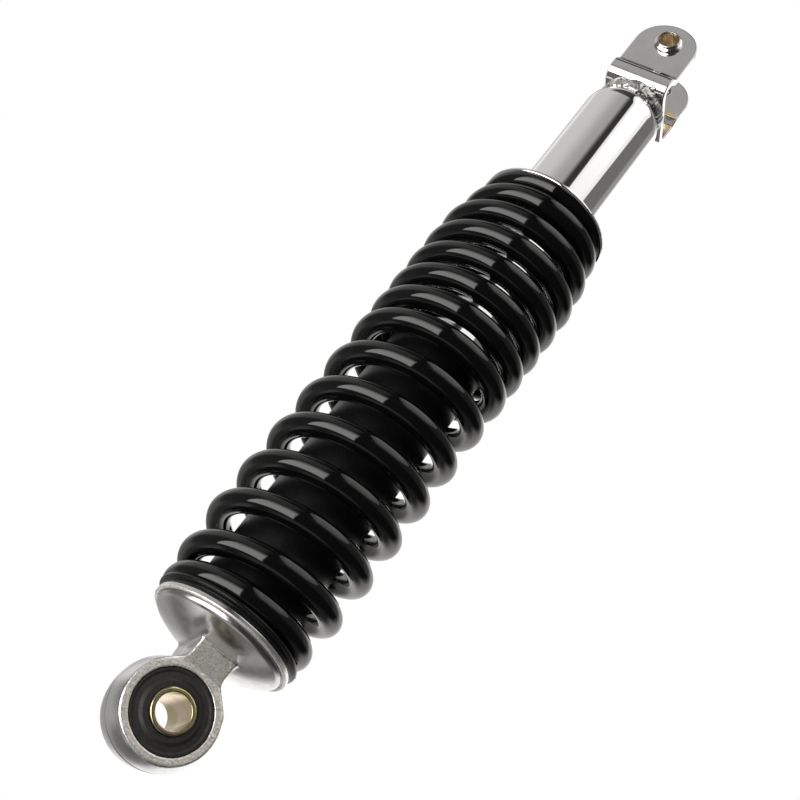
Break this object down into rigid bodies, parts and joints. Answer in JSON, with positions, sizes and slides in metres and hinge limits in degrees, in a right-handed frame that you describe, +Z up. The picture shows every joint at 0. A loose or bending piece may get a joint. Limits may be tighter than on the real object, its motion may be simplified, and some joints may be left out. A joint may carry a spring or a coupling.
{
  "type": "rear shock absorber",
  "caption": "Coil-over rear shock absorber with a bushed upper eye, a dual-pitch spring round a hydraulic damper, and a lower clevis.",
  "frame": {"origin": "centre of the upper eye's sleeve bore", "axes": "+Z up along the shock, from the clevis to the eye; +Y along the lower clevis bolt"},
  "size_m": [0.0516, 0.0516, 0.3149],
  "materials": {
    "yellow_zinc": "yellow passivated zinc",
    "rubber": "matte",
    "cast_aluminium": "polished, rough cast on the faces",
    "cover_plastic": "satin",
    "black_enamel": "gloss",
    "plain_steel": "machined",
    "hard_chrome": "ground and chromed",
    "chrome": "bright",
    "chrome_bracket": "bright over pressed steel",
    "weld": "rough, plated over",
    "bronze": "sintered"
  },
  "bodies": {
    "sleeve": {"eye_sleeve": "yellow_zinc"},
    "upper_mount": {"eye_bush": "rubber", "upper_mount_casting": "cast_aluminium", "dust_cover": "cover_plastic", "spring_isolator": "rubber", "rod_lock_nut": "plain_steel", "bump_washer": "plain_steel", "bump_stop": "rubber", "piston_rod": "hard_chrome", "rebound_stop": "rubber", "piston": "plain_steel", "piston_ring": "cover_plastic", "piston_shims": "plain_steel", "piston_nut": "plain_steel"},
    "spring": {"coil_spring": "black_enamel"},
    "damper": {"damper_tube": "chrome", "seal_cap": "plain_steel", "dust_wiper": "rubber", "rod_seal": "rubber", "rod_guide": "cast_aluminium", "rod_guide_bush": "bronze", "pressure_tube": "plain_steel", "foot_valve_body": "plain_steel", "foot_valve_shims": "plain_steel", "foot_valve_bolt": "plain_steel", "base_cap": "plain_steel", "lower_spring_seat": "chrome", "seat_retaining_ring": "chrome", "clevis_weld_bead": "weld", "clevis_bracket": "chrome_bracket", "clevis_collar": "chrome_bracket", "collar_bush": "yellow_zinc", "clevis_weld_nut": "chrome_bracket"}
  },
  "joints": [
    {"name": "bush_twist", "type": "hinge", "parent": "sleeve", "child": "upper_mount", "pos_m": [0, 0, 0], "axis": [0.5821, 0.8131, 0], "range_deg": [-12, 12], "stiffness_Nm_per_rad": 3},
    {"name": "swivel", "type": "hinge", "parent": "upper_mount", "child": "spring", "pos_m": [0, 0, 0], "axis": [0, 0, 1], "continuous": true},
    {"name": "damper_stroke", "type": "slide", "parent": "spring", "child": "damper", "axis": [0, 0, 1], "range_m": [0, 0.05], "stiffness_N_per_m": 18000, "springref_m": -0.01, "deforming": ["coil_spring"]}
  ]
}
